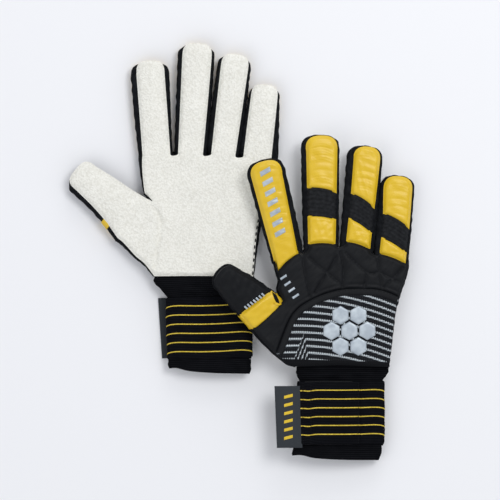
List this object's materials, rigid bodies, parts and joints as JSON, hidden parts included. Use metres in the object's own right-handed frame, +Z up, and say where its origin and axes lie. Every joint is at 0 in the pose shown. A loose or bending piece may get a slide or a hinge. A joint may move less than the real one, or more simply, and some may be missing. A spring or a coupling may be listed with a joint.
{
  "type": "goalkeeper gloves",
  "caption": "Pair of padded goalkeeper gloves lying flat, one palm up and one back up, with latex palms, stretch side strips, striped wrist straps and hinged digits.",
  "frame": {"origin": "middle of the pair's footprint, on the surface it lies on", "axes": "+X towards the little finger of the right glove, +Y towards the fingertips, +Z up from the surface"},
  "size_m": [0.2987, 0.3584, 0.046],
  "materials": {
    "palm_latex": "matt pebbled latex foam",
    "gusset_cloth": "matt stretch cloth",
    "yellow_pad": "glossy coated padding",
    "black_panel": "satin coated padding",
    "black_rib": "ribbed elastic",
    "knit": "striped knit",
    "silver_print": "raised silicone",
    "cuff_rib": "ribbed elastic",
    "strap_web": "woven elastic with thin stripes",
    "hook": "hook tape",
    "tab_web": "woven webbing"
  },
  "bodies": {
    "left_glove": {"left_palm_latex": "palm_latex", "left_backhand_panel": "black_panel", "left_knit_panel": "knit", "left_emblem_cells": "silver_print", "left_hand_side_strips": "gusset_cloth", "left_cuff_sleeve": "cuff_rib", "left_wrist_strap": "strap_web"},
    "left_strap_end": {"left_strap_flap": "strap_web", "left_hook_patch": "hook", "left_pull_tab": "tab_web"},
    "left_index": {"left_index_latex": "palm_latex", "left_index_side_strips": "gusset_cloth", "left_index_back_pad": "yellow_pad"},
    "left_middle": {"left_middle_latex": "palm_latex", "left_middle_side_strips": "gusset_cloth", "left_middle_back_pads": "yellow_pad", "left_middle_flex_band": "black_rib"},
    "left_ring": {"left_ring_latex": "palm_latex", "left_ring_side_strips": "gusset_cloth", "left_ring_back_pads": "yellow_pad", "left_ring_flex_band": "black_rib"},
    "left_little": {"left_little_latex": "palm_latex", "left_little_side_strips": "gusset_cloth", "left_little_back_pads": "yellow_pad", "left_little_flex_band": "black_rib"},
    "left_thumb": {"left_thumb_latex": "palm_latex", "left_thumb_side_strips": "gusset_cloth", "left_thumb_back_band": "yellow_pad", "left_thumb_back_cap": "black_panel"},
    "right_cuff": {"right_cuff_sleeve": "cuff_rib", "right_wrist_strap": "strap_web"},
    "right_hand": {"right_palm_latex": "palm_latex", "right_backhand_panel": "black_panel", "right_knit_panel": "knit", "right_emblem_cells": "silver_print", "right_hand_side_strips": "gusset_cloth"},
    "right_strap_end": {"right_strap_flap": "strap_web", "right_hook_patch": "hook", "right_pull_tab": "tab_web"},
    "right_index": {"right_index_latex": "palm_latex", "right_index_side_strips": "gusset_cloth", "right_index_back_pad": "yellow_pad"},
    "right_middle": {"right_middle_latex": "palm_latex", "right_middle_side_strips": "gusset_cloth", "right_middle_back_pads": "yellow_pad", "right_middle_flex_band": "black_rib"},
    "right_ring": {"right_ring_latex": "palm_latex", "right_ring_side_strips": "gusset_cloth", "right_ring_back_pads": "yellow_pad", "right_ring_flex_band": "black_rib"},
    "right_little": {"right_little_latex": "palm_latex", "right_little_side_strips": "gusset_cloth", "right_little_back_pads": "yellow_pad", "right_little_flex_band": "black_rib"},
    "right_thumb": {"right_thumb_latex": "palm_latex", "right_thumb_side_strips": "gusset_cloth", "right_thumb_back_band": "yellow_pad", "right_thumb_back_cap": "black_panel"}
  },
  "joints": [
    {"name": "left_strap_peel", "type": "hinge", "parent": "left_glove", "child": "left_strap_end", "pos_m": [-0.00274, -0.06477, 0], "axis": [0.0262, -0.9997, 0], "range_deg": [0, 100]},
    {"name": "left_index_curl", "type": "hinge", "parent": "left_glove", "child": "left_index", "pos_m": [-0.07554, 0.08279, 0.014], "axis": [0.9991, 0.0419, 0], "range_deg": [0, 75]},
    {"name": "left_middle_curl", "type": "hinge", "parent": "left_glove", "child": "left_middle", "pos_m": [-0.04504, 0.08379, 0.014], "axis": [0.998, -0.0628, 0], "range_deg": [0, 75]},
    {"name": "left_ring_curl", "type": "hinge", "parent": "left_glove", "child": "left_ring", "pos_m": [-0.01704, 0.08329, 0.014], "axis": [0.9923, -0.1236, 0], "range_deg": [0, 75]},
    {"name": "left_little_curl", "type": "hinge", "parent": "left_glove", "child": "left_little", "pos_m": [0.01396, 0.08109, 0.014], "axis": [0.9954, -0.0958, 0], "range_deg": [0, 75]},
    {"name": "left_thumb_curl", "type": "hinge", "parent": "left_glove", "child": "left_thumb", "pos_m": [-0.09304, 0.02729, 0.014], "axis": [0.6374, 0.7705, 0], "range_deg": [0, 55]},
    {"name": "right_glove_lift", "type": "slide", "parent": "left_glove", "child": "right_cuff", "axis": [0, 0, 1], "range_m": [0, 0.12]},
    {"name": "right_wrist_bend", "type": "hinge", "parent": "right_cuff", "child": "right_hand", "pos_m": [0.08841, -0.10121, 0.02021], "axis": [0.9942, 0, -0.108], "range_deg": [0, 50]},
    {"name": "right_strap_peel", "type": "hinge", "parent": "right_cuff", "child": "right_strap_end", "pos_m": [0.1029, -0.13871, 0.02166], "axis": [0, 1, 0], "range_deg": [0, 100]},
    {"name": "right_index_bend", "type": "hinge", "parent": "right_hand", "child": "right_index", "pos_m": [0.03931, -0.00141, 0.01448], "axis": [-0.962, -0.2521, 0.1045], "range_deg": [-20, 0]},
    {"name": "right_middle_curl", "type": "hinge", "parent": "right_hand", "child": "right_middle", "pos_m": [0.06843, 0.00159, 0.01132], "axis": [-0.9941, -0.0035, 0.108], "range_deg": [-25, 75]},
    {"name": "right_ring_curl", "type": "hinge", "parent": "right_hand", "child": "right_ring", "pos_m": [0.09965, 0.00049, 0.00793], "axis": [-0.9915, 0.0732, 0.1077], "range_deg": [-25, 75]},
    {"name": "right_little_curl", "type": "hinge", "parent": "right_hand", "child": "right_little", "pos_m": [0.12928, -0.00461, 0.00471], "axis": [-0.9904, 0.0872, 0.1076], "range_deg": [-25, 75]},
    {"name": "right_thumb_bend", "type": "hinge", "parent": "right_hand", "child": "right_thumb", "pos_m": [0.02012, -0.05051, 0.01657], "axis": [-0.6535, -0.7536, 0.071], "range_deg": [-15, 0]}
  ]
}
